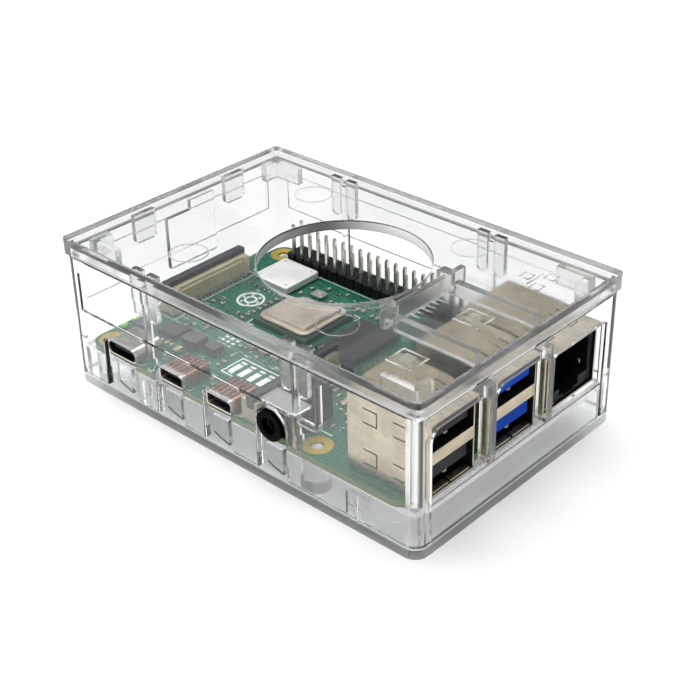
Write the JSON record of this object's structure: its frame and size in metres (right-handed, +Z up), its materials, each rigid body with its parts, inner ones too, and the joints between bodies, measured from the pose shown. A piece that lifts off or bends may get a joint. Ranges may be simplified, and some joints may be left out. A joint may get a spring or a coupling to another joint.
{
  "type": "single board computer in clear case",
  "caption": "Credit-card-sized single board computer in a clear snap-together case with a round fan opening, open port notches and lift-off lid and frame.",
  "frame": {"origin": "middle of the bounding footprint, on the ground under the base tray", "axes": "+X along the board from the memory card end to the USB end, +Y from the video and power edge to the pin header edge, +Z up out of the lid"},
  "size_m": [0.0928, 0.061, 0.0331],
  "materials": {
    "clear_plastic": "clear moulded, polished",
    "board_green": "green solder mask",
    "package_green": "satin laminate",
    "nickel": "nickel plate, satin",
    "tin": "tin plate, dull",
    "chip_black": "moulded resin",
    "ferrite": "coated ferrite",
    "led_resin": "tinted resin",
    "black_plastic": "semi-gloss moulded",
    "blue_plastic": "semi-gloss moulded",
    "beige_plastic": "satin moulded",
    "slate_plastic": "satin moulded",
    "gold_pin": "gold plate"
  },
  "bodies": {
    "base_and_board": {"case_base": "clear_plastic", "circuit_board": "board_green", "processor_package": "package_green", "processor_heat_spreader": "nickel", "usb_c_shell": "nickel", "micro_video_shell_1": "nickel", "micro_video_shell_2": "nickel", "ethernet_contacts": "nickel", "wireless_can": "tin", "crystal_can": "tin", "usb2_shell": "tin", "usb3_shell": "tin", "ethernet_shell": "tin", "memory_card_socket": "tin", "memory_chip": "chip_black", "usb_controller_chip": "chip_black", "ethernet_phy_chip": "chip_black", "power_chip": "chip_black", "power_inductor_1": "ferrite", "power_inductor_2": "ferrite", "power_inductor_3": "ferrite", "status_led_power": "led_resin", "status_led_activity": "led_resin", "usb_c_tongue": "black_plastic", "micro_video_tongue_1": "black_plastic", "micro_video_tongue_2": "black_plastic", "audio_jack": "black_plastic", "usb2_insulator": "black_plastic", "ethernet_insert": "black_plastic", "gpio_header": "black_plastic", "power_pin_header": "black_plastic", "usb3_insulator": "blue_plastic", "camera_connector": "beige_plastic", "display_connector": "beige_plastic"},
    "frame": {"case_frame": "clear_plastic"},
    "lid": {"case_lid": "clear_plastic"},
    "camera_latch": {"camera_connector_latch": "slate_plastic"},
    "display_latch": {"display_connector_latch": "slate_plastic"}
  },
  "joints": [
    {"name": "frame_lift", "type": "slide", "parent": "base_and_board", "child": "frame", "axis": [0, 0, 1], "range_m": [0, 0.03]},
    {"name": "lid_lift", "type": "slide", "parent": "frame", "child": "lid", "axis": [0, 0, 1], "range_m": [0, 0.012]},
    {"name": "camera_latch_lift", "type": "slide", "parent": "base_and_board", "child": "camera_latch", "axis": [0, 0, 1], "range_m": [0, 0.001]},
    {"name": "display_latch_lift", "type": "slide", "parent": "base_and_board", "child": "display_latch", "axis": [0, 0, 1], "range_m": [0, 0.001]}
  ]
}
